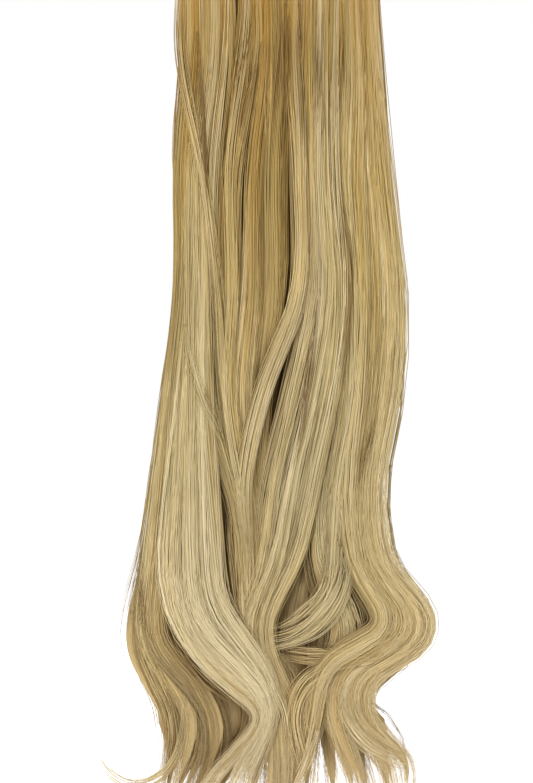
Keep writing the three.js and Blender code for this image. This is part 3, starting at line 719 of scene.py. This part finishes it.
def addLockMass(lock, row, order):
    # a ball's rings are drawn out along the lock
    form = massForm
    bpy.ops.mesh.primitive_uv_sphere_add(segments=form["sides"], ring_count=form["rings"], radius=1)
    ball = bpy.context.object
    line = lockLine(lock)
    points = np.array([vertex.co for vertex in ball.data.vertices])
    part = np.arccos(np.clip(points[:, 2], -1, 1)) / math.pi
    soFar = alongLock(line, part, lock.get("core", form["core"]))
    ring = np.hypot(points[:, 0], points[:, 1])
    angle = np.arctan2(points[:, 1], points[:, 0])
    swell = blend(row["atRoot"], 1, smoothStep(soFar, *form["swellEase"]))
    full = np.where(ring > 1e-4, row["fullness"] * np.minimum(ring * form["poleSlope"], 1) * swell, 0)
    across, out = np.cos(angle) * full, np.sin(angle) * full * np.where(np.sin(angle) > 0, *form["outShares"])
    places = placeOnLock(lock, row, line, order, soFar, across, out, form["tipShare"])
    ball.data.vertices.foreach_set("co", places.astype(np.float32).ravel())
    shares = np.clip(soFar / hairForm["drop"], 0, 1)
    paint(ball.data, {"along": shares, "tone": form["tone"], "ash": form["ash"], "shade": shadeAt(places)})
    return ball


def joined(objects, name):
    selectOnly(*objects)
    bpy.ops.object.join()
    whole = bpy.context.object
    whole.name = name
    bpy.ops.object.select_all(action="DESELECT")
    return whole


def addRowMass(row):
    masses = [addLockMass(lock, row, order) for order, lock in enumerate(row["locks"])]
    whole = joined(masses, row["name"] + "_mass")
    selectOnly(whole)
    bpy.ops.object.mode_set(mode="EDIT")
    bpy.ops.mesh.select_all(action="SELECT")
    bpy.ops.mesh.normals_make_consistent(inside=False)
    bpy.ops.object.mode_set(mode="OBJECT")
    bpy.ops.object.shade_smooth()
    bpy.ops.object.select_all(action="DESELECT")
    whole.data.materials.clear()
    whole.data.materials.append(massMaterial)
    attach(whole, "root")
    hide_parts(row["name"])


# Hair strands

strandForm = {
    "radius": 0.00026,
    "rings": 28,
    "tipLength": 0.2,  # share of a strand over which it thins
    "tipThinning": 0.75,
    "tipShare": 0.7,  # of the lock's width that is left at its tip
    "rootEase": (0.02, 0.25),  # shares of the lock between which its strands come loose from the track
    "flatEase": (0.02, 0.2),  # and between which the clumps go from flat to full
    "spread": 0.85,  # how much of the lock's width the middles of the clumps take
    "homes": (0.25, 0.75),  # where a clump's middle lies in its own part of the width
    "proud": 0.75,  # how far out the lock's middle clump can lie
    "sunk": 0.8,  # and how much deeper the deepest one
    "grain": 60,  # places along a lock at which its clumps' wandering is kept
    "clumpHalfWidth": 0.0023,
    "clumpSizes": (0.7, 1.3),
    "clumpFlatness": (0.35, 0.55),  # at the track and below it
    "clumpSway": 0.42,  # how far a clump wanders across its lock, as a share of half the lock's width
    "clumpRise": 0.3,
    "clumpSwell": 0.35,
    "clumpTip": (0.35, 0.25),  # what is left of its size at its tip, and the share over which it narrows
    "clumpRoot": 0.6,
    "wander": 0.45,  # locks shorter than this wander less
    "stray": (0.36, 0.06),  # how far strands lie from their clump's place: free ones, and the others
    "overSide": 0.35,  # how far past the clump's sides its strands lie, in radians
    "twist": 0.9,
    "leastReach": 0.15,  # the square of how near its clump's middle a strand can lie
    "frizz": 0.00022,
    "loose": 0.05,  # share of the strands that leave their clump
    "looseness": 0.0016,
    "edgeShade": 0.5,
    "edgeEase": (0.6, 1.1),
    "wispStart": 0.2,  # how thin a wisp's strands start
    "wispEase": (0.25, 0.4),  # how far down they start to thicken at the latest, and are full
}
# How often each of these turns along a lock, at least and at most
strandTurns = {
    "sway": (0.6, 2.2), "rise": (0.8, 2.6), "swell": (0.8, 2.4), "shade": (0.8, 3), "frizz": (2, 5),
}
# How much tone, ash and place along the hair differ
strandTone = {
    "clump": 0.1,
    "depth": 0.12,  # painted light and shade: how much lighter a clump is painted that lies further out, and darker one that lies deeper
    "depthMiddle": 0.2,
    "strand": 0.026,
    "inside": 0.1,  # painted shade: how much darker a clump's inner strands are painted
    "shade": 0.09,
    "lightest": 0.92,
    "ashOfClump": 0.22,
    "ashOfStrand": 0.08,
    "along": 0.04,
}


def slowNoise(rng, count, t, turns):
    # a smooth wandering value for each of some things, along its length
    value = 0
    for share in (0.65, 0.35):
        speed = rng.uniform(*turns, count)
        phase = rng.uniform(0, 2 * math.pi, count)
        value = value + share * np.sin(2 * math.pi * speed[:, None] * t + phase[:, None])
    return value


def strandPaths(lock, row, order, rng):
    # the middle lines of all strands of one lock, which keep together in clumps
    form, tones, turns = strandForm, strandTone, strandTurns
    line = lockLine(lock)
    clumps = lock.get("clumps", row["clumps"])
    each = int(lock.get("strands", row["strands"]) / clumps)
    count = clumps * each
    spread, power = lock.get("tips", row["tips"])
    ends = 1 - spread * rng.uniform(0, 1, count) ** power
    soFar = alongLock(line, np.linspace(0, 1, form["rings"])[None, :], ends[:, None])
    t = soFar / line["length"]
    started = smoothStep(t, *form["rootEase"])
    calm = min(1, line["length"] / form["wander"])
    # the clumps, as places across and out of the lock
    clump = np.repeat(np.arange(clumps), each)
    homeAcross = (np.arange(clumps) + rng.uniform(*form["homes"], clumps)) / clumps * 2 - 1
    homeAcross = homeAcross * form["spread"]
    sunk = rng.permutation(np.linspace(0, form["sunk"], clumps))
    homeOut = form["proud"] * np.sqrt(1 - homeAcross**2) - sunk
    grain = np.linspace(0, 1, form["grain"])
    sway = slowNoise(rng, clumps, grain, turns["sway"]) * form["clumpSway"] * calm
    rise = slowNoise(rng, clumps, grain, turns["rise"]) * form["clumpRise"] * calm
    swell = 1 + form["clumpSwell"] * slowNoise(rng, clumps, grain, turns["swell"])
    shade = slowNoise(rng, clumps, grain, turns["shade"])
    at = t * (len(grain) - 1)
    low = np.clip(at.astype(int), 0, len(grain) - 2)
    mix = at - low

    def ofClump(values):
        return values[clump[:, None], low] * (1 - mix) + values[clump[:, None], low + 1] * mix

    free = rng.normal(0, 1, (count, 1))
    free = free * np.where(rng.uniform(0, 1, (count, 1)) < row["free"], *form["stray"])
    across = homeAcross[clump][:, None] + (ofClump(sway) + free) * started
    out = homeOut[clump][:, None] + ofClump(rise) * started
    places = placeOnLock(lock, row, line, order, soFar, np.clip(across, -1, 1), out, form["tipShare"])
    # the strand's own place in its clump
    angle = rng.uniform(-form["overSide"], math.pi + form["overSide"], count)[:, None]
    angle = angle + form["twist"] * rng.uniform(-1, 1, count)[:, None] * t
    reach = np.sqrt(rng.uniform(form["leastReach"], 1, count))[:, None]
    size = rng.uniform(*form["clumpSizes"], clumps)[clump][:, None]
    radius = form["clumpHalfWidth"] * size * ofClump(swell)
    tip, tipLength = form["clumpTip"]
    radius = radius * blend(tip, 1, np.sqrt(np.clip((1 - t) / tipLength, 0, 1)))
    radius = radius * blend(form["clumpRoot"], 1, started)
    heading = np.interp(soFar, line["soFar"], line["heading"])
    sideways = radius * reach * np.cos(angle) * row["facing"]
    flat = blend(*form["clumpFlatness"], smoothStep(t, *form["flatEase"]))
    places[..., 0] += np.sin(heading) * sideways
    places[..., 2] -= np.cos(heading) * sideways
    places[..., 1] -= radius * reach * np.sin(angle) * flat * row["facing"]
    loose = np.where(rng.uniform(0, 1, count) < form["loose"], form["looseness"], form["frizz"])
    for axis in (0, 1, 2):
        places[..., axis] += slowNoise(rng, count, t, turns["frizz"]) * loose[:, None] * started * calm
    # each clump's tone differs at random; on top of that, painted light on clumps that lie further out, and
    # painted shade on sunk clumps and on a clump's inner strands
    clumpTone = rng.normal(0, tones["clump"], clumps) + tones["depth"] * (homeOut - tones["depthMiddle"])
    tone = clumpTone[clump] + rng.normal(0, tones["strand"], count) - tones["inside"] * (1 - reach[:, 0])
    share = np.interp(soFar, line["soFar"], line["share"])
    tone = tone[:, None] + profileValue(lock["tone"], share) + tones["shade"] * ofClump(shade)
    ash = lock["ash"] + rng.normal(0, tones["ashOfClump"], clumps)[clump]
    ash = np.clip(ash + rng.normal(0, tones["ashOfStrand"], count), 0, 1)
    along = np.clip(share + rng.normal(0, tones["along"], (count, 1)), 0, 1)
    edge = form["edgeShade"] * smoothStep(np.abs(across), *form["edgeEase"]) * started
    thin = 1 - form["tipThinning"] * smoothStep(t / ends[:, None], 1 - form["tipLength"], 1)
    if not lock.get("rooted", True):
        latest, full = form["wispEase"]
        thin = thin * blend(form["wispStart"], 1, smoothStep(t, rng.uniform(0, latest, (count, 1)), full))
    return {"places": places, "along": along, "tone": np.clip(tone, 0, tones["lightest"]),
            "ash": np.repeat(ash[:, None], form["rings"], axis=1), "edge": edge, "thin": thin}


def addStrands(name, paths):
    # joins the strands into one mesh of closed three-sided tubes
    keys = ("places", "along", "tone", "ash", "edge", "thin")
    places, along, tone, ash, edge, thin = (np.concatenate([path[key] for path in paths]) for key in keys)
    shade = 1 - (1 - shadeAt(places)) * (1 - edge)
    count, rings = places.shape[:2]
    tangent = np.gradient(places, axis=1)
    tangent /= np.linalg.norm(tangent, axis=2, keepdims=True)
    side = np.cross(tangent, [0.0, 1.0, 0.0])
    side /= np.linalg.norm(side, axis=2, keepdims=True)
    up = np.cross(side, tangent)
    radius = (strandForm["radius"] * thin)[..., None]
    start = np.random.default_rng(count).uniform(0, 2 * math.pi, count)
    corners = []
    for corner in range(3):
        angle = (start + corner * 2 * math.pi / 3)[:, None, None]
        corners.append(places + radius * (np.cos(angle) * side + np.sin(angle) * up))
    vertices = np.stack(corners, axis=2).reshape(-1, 3)
    base = (np.arange(count)[:, None] * rings + np.arange(rings - 1)[None, :]) * 3
    quads = np.concatenate([
        np.stack([base + a, base + b, base + b + 3, base + a + 3], axis=-1).reshape(-1, 4)
        for a, b in ((0, 1), (1, 2), (2, 0))
    ])
    first = np.arange(count) * rings * 3
    last = first + (rings - 1) * 3
    caps = np.concatenate([
        np.stack([first + 2, first + 1, first], axis=-1),
        np.stack([last, last + 1, last + 2], axis=-1),
    ])
    mesh = bpy.data.meshes.new(name)
    mesh.vertices.add(len(vertices))
    mesh.vertices.foreach_set("co", vertices.astype(np.float32).ravel())
    mesh.loops.add(quads.size + caps.size)
    mesh.loops.foreach_set("vertex_index", np.concatenate([quads.ravel(), caps.ravel()]).astype(np.int32))
    mesh.polygons.add(len(quads) + len(caps))
    starts = np.concatenate([np.arange(len(quads)) * 4, quads.size + np.arange(len(caps)) * 3])
    mesh.polygons.foreach_set("loop_start", starts.astype(np.int32))
    mesh.update(calc_edges=True)
    mesh.shade_smooth()
    values = {"along": along, "tone": tone, "ash": ash, "shade": shade}
    paint(mesh, {key: np.repeat(value.ravel(), 3) for key, value in values.items()})
    mesh.materials.append(strandMaterial)
    strands = bpy.data.objects.new(name, mesh)
    bpy.context.collection.objects.link(strands)
    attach(strands, "root")
    print(name, count, "strands", len(quads) * 2 + len(caps), "triangles")


for row in hairRows:
    row["locks"] = fillingLocks(row) + sideLocks(row) if "sheets" in row else frontLocks
    rng = np.random.default_rng(row["seed"])
    row["paths"] = [strandPaths(lock, row, order, rng) for order, lock in enumerate(row["locks"])]
    row["paths"] += [strandPaths(wisp, row, 0, rng) for wisp in row.get("wisps", ())]
mapSurfaces(np.concatenate([path["places"] for row in hairRows for path in row["paths"]]))
for row in hairRows:
    addRowMass(row)
    # each piece takes whole locks, up to its share of the strands
    counts = np.cumsum([len(path["places"]) for path in row["paths"]])
    for part, ending in enumerate(row["pieces"]):
        here = (counts - 1) * len(row["pieces"]) // counts[-1] == part
        addStrands(row["name"] + ending, [path for path, inPart in zip(row["paths"], here) if inPart])
print("hair made")

# Band, tracks, clips and thread

bandForm = {
    "edge": 0.0005,
    "cuts": 36,
    "hem": 0.0014,  # from the band's edge to its hem stitches
    "stitches": 46,
    "stitchMargin": 0.003,  # from the band's ends to the first and last stitch
    "stitchLength": 0.0024,
    "bulge": 0.00012,
    "weave": (0.0006, 0.0005),
    "slub": 180,
    "relief": 0.00018,
    "dark": (0.34, 0.22, 0.095),
    "light": (0.5, 0.35, 0.17),
    "roughness": 0.85,
}
trackForm = {
    "edge": 0.0004,
    "cuts": 44,
    "seams": (-0.0006, -0.003, -0.0054),  # z of the three sewn lines
    "pitch": 0.002,
    "stitchLength": 0.0019,
    "stitchThickness": 1.2,  # in thicknesses of the thread
    "bulge": 0.00018,
    "wrapPitch": 0.003,
    "wrapDrop": 0.0009,  # from the track's upper edge to the middle of the loops round it
    "wrapReach": 0.0011,
    "weave": (0.0004, 0.0022),
    "slub": 420,
    "relief": 0.0002,
    "dark": (0.42, 0.27, 0.09),
    "light": (0.6, 0.43, 0.2),
    "roughness": 0.7,
}
threadForm = {
    "thickness": 0.00042,
    "slant": 0.25,  # of its loops, as a share of their pitch
    "weave": (0.0003, 0.0003),
    "slub": 900,
    "relief": 0.00006,
    "dark": (0.46, 0.33, 0.16),
    "light": (0.66, 0.52, 0.3),
    "roughness": 0.6,
}
clothForm = {
    "ripples": ((0.00012, 900), (0.00008, 2130)),  # height, and radians over a metre
    "waveTurn": 2 * math.pi / 20,  # a wave's pitch in metres, times its scale
    "distortion": 0.4,
    "slubDetail": 3,
    "gaps": [(0, (0.55, 0.5, 0.45)), (0.45, white)],
    "reliefStrength": 0.7,
    "specular": 0.3,
    "sheen": 0.15,
}
clipForm = {
    "merge": 0.00002,
    "flatAngle": math.radians(3),
    "edgeAngle": math.radians(25),
    "edge": 0.00022,
    "rivet": 0.0013,
    "rivetSides": 20,
    "rivetHeight": 0.0006,
    "rivetDepth": 1.6,  # its whole length, in heights
    "rivetEdge": 0.0004,
    "rivetInset": 0.0012,
    "loops": (-0.0126, -0.0108, -0.009, 0.009, 0.0108, 0.0126),
    "loopDrop": 0.0012,
    "loopReach": 0.0016,
    "loopSlack": 0.0001,
    "loopPitch": 0.001,
    "mottle": (260, 4),
    "grain": (2400, 2),
    "relief": (0.25, 0.00004),
    "dark": (0.06, 0.032, 0.013),
    "light": (0.12, 0.07, 0.032),
    "metallic": 0.7,
    "roughness": (0.18, 0.38),
    "coat": 0.4,
    "coatRoughness": 0.2,
}


def addClothMaterial(name, finish):
    # threads over and under each other, on the piece's own place, with slubs and a little fading
    material, tree, shader = startMaterial(name)
    place = tree.nodes.new("ShaderNodeTexCoord").outputs["Object"]
    weave = tree.nodes.new("ShaderNodeMath")
    weave.operation = "MULTIPLY"
    for index, direction in enumerate("XZ"):
        wave = tree.nodes.new("ShaderNodeTexWave")
        wave.bands_direction = direction
        scale = clothForm["waveTurn"] / finish["weave"][index]
        setInputs(wave, {"Scale": scale, "Distortion": clothForm["distortion"], "Detail": 1})
        tree.links.new(place, wave.inputs["Vector"])
        tree.links.new(wave.outputs["Fac"], weave.inputs[index])
    slub = addNoise(tree, place, finish["slub"], clothForm["slubDetail"])
    colour = addRamp(tree, slub, [(0.3, finish["dark"]), (0.7, finish["light"])])
    gaps = addRamp(tree, weave.outputs["Value"], clothForm["gaps"])
    tree.links.new(addMix(tree, "MULTIPLY", 1, colour, gaps), shader.inputs["Base Color"])
    addBump(tree, weave.outputs["Value"], clothForm["reliefStrength"], finish["relief"], shader)
    setInputs(shader, {
        "Roughness": finish["roughness"],
        "Specular IOR Level": clothForm["specular"],
        "Sheen Weight": clothForm["sheen"],
    })
    return material


def addMetalMaterial(name, finish):
    # dark lacquer, mottled in colour and gloss, over a fine grain
    material, tree, shader = startMaterial(name)
    place = tree.nodes.new("ShaderNodeTexCoord").outputs["Object"]
    mottle = addNoise(tree, place, *finish["mottle"])
    colour = addRamp(tree, mottle, [(0.3, finish["dark"]), (0.7, finish["light"])])
    tree.links.new(colour, shader.inputs["Base Color"])
    dull = tree.nodes.new("ShaderNodeMapRange")
    setInputs(dull, {"To Min": finish["roughness"][0], "To Max": finish["roughness"][1]})
    tree.links.new(mottle, dull.inputs["Value"])
    tree.links.new(dull.outputs["Result"], shader.inputs["Roughness"])
    addBump(tree, addNoise(tree, place, *finish["grain"]), *finish["relief"], shader)
    setInputs(shader, {
        "Metallic": finish["metallic"],
        "Coat Weight": finish["coat"],
        "Coat Roughness": finish["coatRoughness"],
    })
    return material


clothMaterial = addClothMaterial("bandCloth", bandForm)
trackMaterial = addClothMaterial("sewnTrack", trackForm)
threadMaterial = addClothMaterial("sewingThread", threadForm)
metalMaterial = addMetalMaterial("lacqueredSteel", clipForm)


def modified(thing, kind, **settings):
    modifier = thing.modifiers.new(kind.lower(), kind)
    for key, value in settings.items():
        setattr(modifier, key, value)
    selectOnly(thing)
    bpy.ops.object.modifier_apply(modifier=modifier.name)
    return thing


def repeated(thing, start, count, pitch):
    # copies of the thing in a line, from the start on
    thing.location = start
    return modified(thing, "ARRAY", count=count, use_relative_offset=False, use_constant_offset=True,
                    constant_offset_displace=(pitch, 0, 0))


def finished(thing, name, material, replaced=None):
    selectOnly(thing)
    bpy.ops.object.transform_apply(location=True, rotation=True, scale=True)
    bpy.ops.object.shade_smooth_by_angle(angle=math.radians(40))
    bpy.ops.object.select_all(action="DESELECT")
    thing.name = name
    thing.data.materials.clear()
    thing.data.materials.append(material)
    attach(thing, "root")
    if replaced:
        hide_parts(replaced)


def addStrip(low, high, edge, cuts):
    # a cloth strip with soft edges, cut across so that it can ripple a little
    size = np.array(high) - np.array(low)
    bpy.ops.mesh.primitive_cube_add(size=1, location=(np.array(low) + np.array(high)) / 2)
    strip = bpy.context.object
    strip.scale = size
    bpy.ops.object.transform_apply(location=True, rotation=True, scale=True)
    modified(strip, "BEVEL", width=edge, segments=3, limit_method="ANGLE")
    bpy.ops.object.mode_set(mode="EDIT")
    for i in range(1, cuts):
        bpy.ops.mesh.select_all(action="SELECT")
        bpy.ops.mesh.bisect(plane_co=(low[0] + size[0] * i / cuts, 0, 0), plane_no=(1, 0, 0))
    bpy.ops.object.mode_set(mode="OBJECT")
    for vertex in strip.data.vertices:
        vertex.co.z += sum(height * math.sin(vertex.co.x * speed) for height, speed in clothForm["ripples"])
    return strip


def addStitches(start, count, pitch, length, thickness, bulge):
    # one stitch, an arched bead of thread, repeated along the seam
    bpy.ops.mesh.primitive_uv_sphere_add(segments=8, ring_count=6, radius=0.5, rotation=(0, math.pi / 2, 0))
    stitch = bpy.context.object
    bpy.ops.object.transform_apply(location=False, rotation=True, scale=True)
    for vertex in stitch.data.vertices:
        along = vertex.co.x * 2
        y = vertex.co.y * thickness + bulge * (1 - along * along)
        vertex.co = (along * length / 2, y, vertex.co.z * thickness)
    return repeated(stitch, start, count, pitch)


def addWraps(start, count, pitch, reach):
    # one loop of thread round an edge, repeated along it. reach: half its size in y and in z
    bpy.ops.mesh.primitive_torus_add(major_segments=10, minor_segments=4, major_radius=1, minor_radius=0.5,
                                     rotation=(0, math.pi / 2, 0))
    wrap = bpy.context.object
    bpy.ops.object.transform_apply(location=False, rotation=True, scale=True)
    thickness = threadForm["thickness"]
    for vertex in wrap.data.vertices:
        outward = math.hypot(vertex.co.y, vertex.co.z)
        y, z = vertex.co.y / outward, vertex.co.z / outward
        rise = (outward - 1) * thickness
        x = vertex.co.x * thickness + threadForm["slant"] * pitch * y
        vertex.co = (x, y * (reach[0] + rise), z * (reach[1] + rise))
    return repeated(wrap, start, count, pitch)


def addBand():
    form = bandForm
    low, high = (np.array(corner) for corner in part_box("weft_band"))
    band = addStrip(low, high, form["edge"], form["cuts"])
    finished(band, "band_cloth", clothMaterial, "weft_band")
    pitch = (high[0] - low[0] - 2 * form["stitchMargin"]) / form["stitches"]
    rows = []
    # at the back the upper hem, at the front both
    for y, bulge, z in ((low[1], -1, high[2]), (high[1], 1, high[2]), (high[1], 1, low[2])):
        start = (low[0] + form["stitchMargin"] + pitch / 2, y, z - math.copysign(form["hem"], z))
        size = (form["stitchLength"], threadForm["thickness"], bulge * form["bulge"])
        rows.append(addStitches(start, form["stitches"], pitch, *size))
    finished(joined(rows, "hem"), "band_hem_stitches", threadMaterial)


def addTracks():
    form, hair = trackForm, hairForm
    halfWeft, thickness = hair["halfWeft"], hair["trackThickness"]
    wraps, seams = [], []
    for row in hairRows:
        pitch = thickness + hair["seatGap"]
        front = -hair["bandThickness"] - hair["seatGap"] - row["lane"] * pitch - thickness
        low = (-halfWeft, front, -hair["trackDrop"] - hair["trackHeight"] / 2)
        high = (halfWeft, front + thickness, -hair["trackDrop"] + hair["trackHeight"] / 2)
        track = addStrip(low, high, form["edge"], form["cuts"])
        name = row["name"].replace("hair_row", "track")
        finished(track, name, trackMaterial, row["name"])
        count = int(2 * halfWeft / form["wrapPitch"])
        start = (low[0] + form["wrapPitch"] / 2, (low[1] + high[1]) / 2, high[2] - form["wrapDrop"])
        wraps.append(addWraps(start, count, form["wrapPitch"], (thickness / 2, form["wrapReach"])))
    # the seams show on the front row's track
    count = int(2 * halfWeft / form["pitch"]) - 1
    size = (form["stitchLength"], threadForm["thickness"] * form["stitchThickness"], -form["bulge"])
    for z in form["seams"]:
        seams.append(addStitches((-halfWeft + form["pitch"], low[1], z), count, form["pitch"], *size))
    finished(joined(wraps, "wraps"), "track_edge_stitches", threadMaterial)
    finished(joined(seams, "seams"), "track_seams", threadMaterial)


def addClip(node):
    # the clip's own shape with eased edges and a rivet at each end. Returns the thread loops that hold it
    form = clipForm
    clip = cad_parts[node].copy()
    clip.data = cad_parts[node].data.copy()
    bpy.context.collection.objects.link(clip)
    clip.hide_render = False
    selectOnly(clip)
    bpy.ops.object.mode_set(mode="EDIT")
    bpy.ops.mesh.select_all(action="SELECT")
    bpy.ops.mesh.remove_doubles(threshold=form["merge"])
    bpy.ops.mesh.dissolve_limited(angle_limit=form["flatAngle"])
    bpy.ops.object.mode_set(mode="OBJECT")
    modified(clip, "BEVEL", width=form["edge"], segments=2, limit_method="ANGLE",
             angle_limit=form["edgeAngle"])
    low, high = (np.array(corner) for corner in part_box(node))
    middle, rivets, loops = (low + high) / 2, [], []
    for side in (-1, 1):
        x = middle[0] + side * (high[0] - low[0] - 2 * form["rivetInset"]) / 2
        place = (x, high[1] + form["rivetHeight"] / 2, middle[2])
        depth = form["rivetHeight"] * form["rivetDepth"]
        bpy.ops.mesh.primitive_cylinder_add(vertices=form["rivetSides"], radius=form["rivet"], depth=depth,
                                            location=place, rotation=(math.pi / 2, 0, 0))
        rivets.append(bpy.context.object)
        modified(rivets[-1], "BEVEL", width=form["rivetEdge"], segments=3, limit_method="ANGLE")
        bpy.ops.object.transform_apply(location=True, rotation=True, scale=True)
    finished(joined([clip] + rivets, "whole"), node + "_steel", metalMaterial, node)
    band = hairForm["bandThickness"]
    for x in form["loops"]:
        reach = ((high[1] + band / 2) / 2 + form["loopSlack"], form["loopReach"])
        start = (middle[0] + x, high[1] / 2 - band / 4, high[2] - form["loopDrop"])
        loops.append(addWraps(start, 1, form["loopPitch"], reach))
    return loops


addBand()
addTracks()
sewing = addClip("clip_left") + addClip("clip_centre") + addClip("clip_right")
finished(joined(sewing, "sewing"), "clip_sewing", threadMaterial)
print("band, tracks and clips made")
